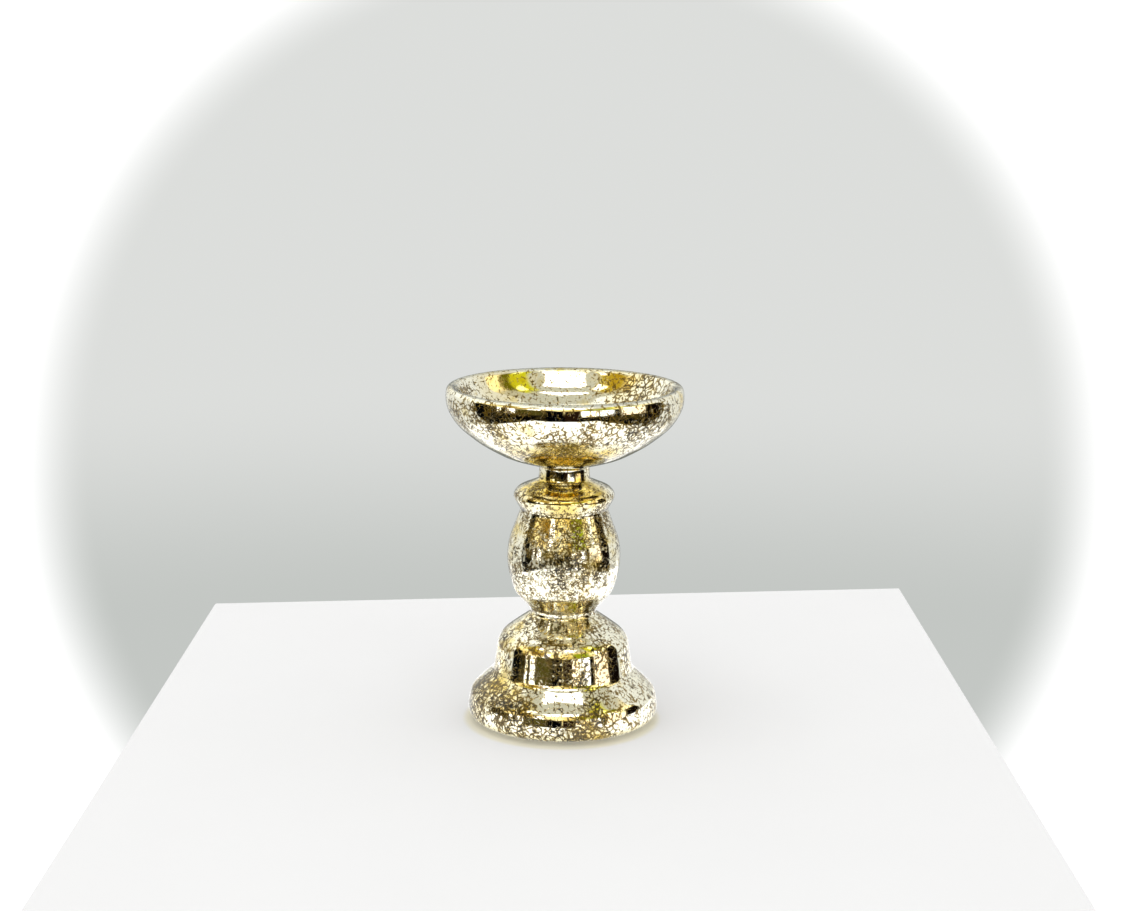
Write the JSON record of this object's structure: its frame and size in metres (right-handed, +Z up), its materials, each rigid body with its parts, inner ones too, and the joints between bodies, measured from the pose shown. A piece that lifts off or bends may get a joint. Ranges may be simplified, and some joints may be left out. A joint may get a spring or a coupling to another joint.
{
  "type": "tealight holder",
  "caption": "Pedestal tealight holder in silvered crackle glass: flared foot, bell, baluster stem and a shallow double-walled dish.",
  "frame": {"origin": "on the table, at the centre of the foot, level with the undersides of the bumpers", "axes": "+Z up along the axis of revolution; -Y towards the viewer; the object looks the same all round"},
  "size_m": [0.1137, 0.1138, 0.165],
  "materials": {
    "clear_glass": "clear, polished blown glass with faint waves",
    "mirror_film": "antiqued silver mirror, broken by fine dark and amber crackle",
    "amber_lacquer": "brown-amber protective lacquer seen through the gaps in the mirror",
    "plug_rubber": "matt pale grey rubber",
    "clear_bumper": "clear soft polyurethane"
  },
  "bodies": {
    "root": {"glass_body": "clear_glass", "silver_lining": "mirror_film", "lacquer_backing": "amber_lacquer", "base_plug": "plug_rubber", "bumper_1": "clear_bumper", "bumper_2": "clear_bumper", "bumper_3": "clear_bumper", "bumper_4": "clear_bumper"}
  },
  "joints": []
}
